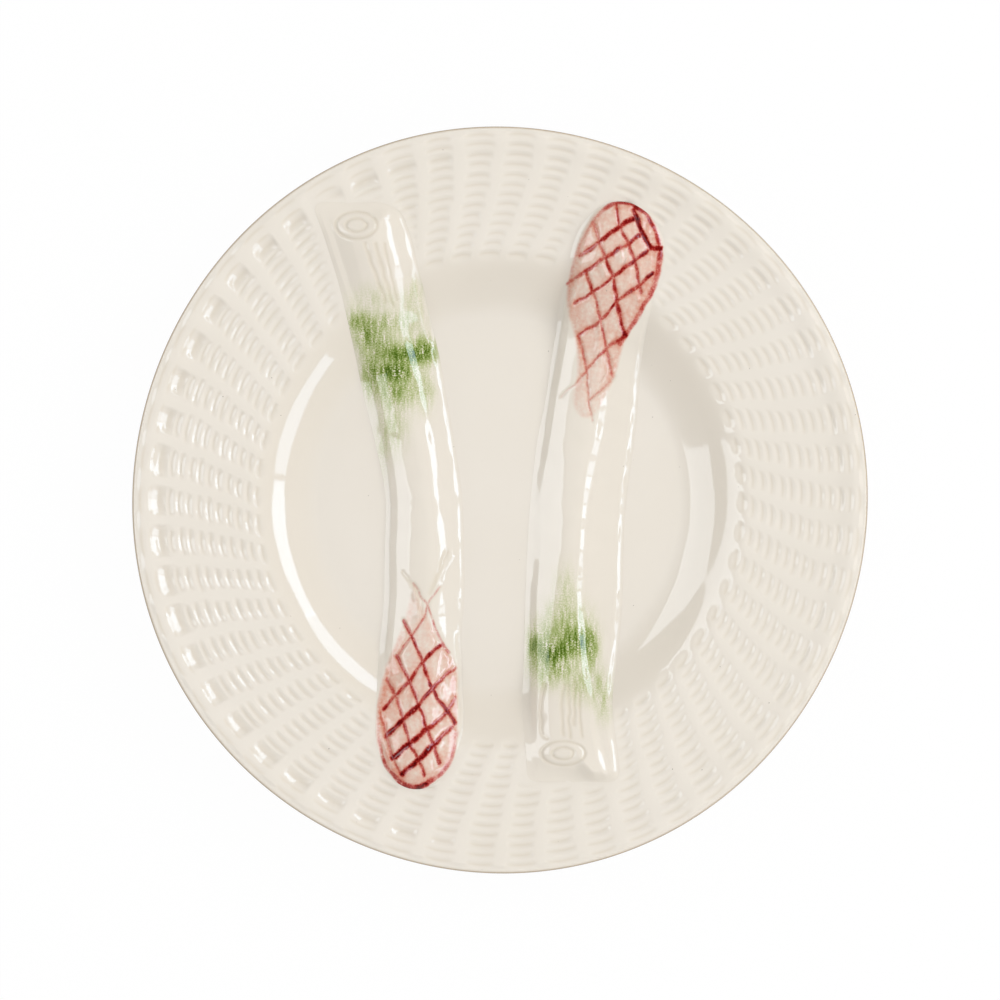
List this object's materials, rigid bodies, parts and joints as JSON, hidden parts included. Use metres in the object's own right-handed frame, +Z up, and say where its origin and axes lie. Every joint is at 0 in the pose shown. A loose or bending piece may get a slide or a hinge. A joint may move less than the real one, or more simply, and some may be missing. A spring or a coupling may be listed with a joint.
{
  "type": "asparagus plate",
  "caption": "Slightly oval dinner plate with a basket-weave rim, a shallow well and asparagus spears in relief laid head to tail across it.",
  "frame": {"origin": "centre of the foot ring's underside, where the plate stands", "axes": "+Z up out of the well, +Y along the spears towards the cut end of the left spear, +X from the left spear to the right spear"},
  "size_m": [0.256, 0.26, 0.0289],
  "materials": {
    "cream_glaze": "glossy cream tin glaze with fine pinholes, pooled slightly darker in the creases",
    "bare_clay": "matt unglazed buff earthenware, wiped clean where the plate stands",
    "stalk_glaze": "glossy cream glaze with a sponged green band near the cut end",
    "tip_glaze": "glossy cream glaze washed with pink, dark red brushed into the grooves between the scales"
  },
  "bodies": {
    "root": {"plate": "cream_glaze", "foot_ring": "bare_clay", "left_spear_stalk": "stalk_glaze", "left_spear_tip": "tip_glaze", "right_spear_stalk": "stalk_glaze", "right_spear_tip": "tip_glaze"}
  },
  "joints": []
}
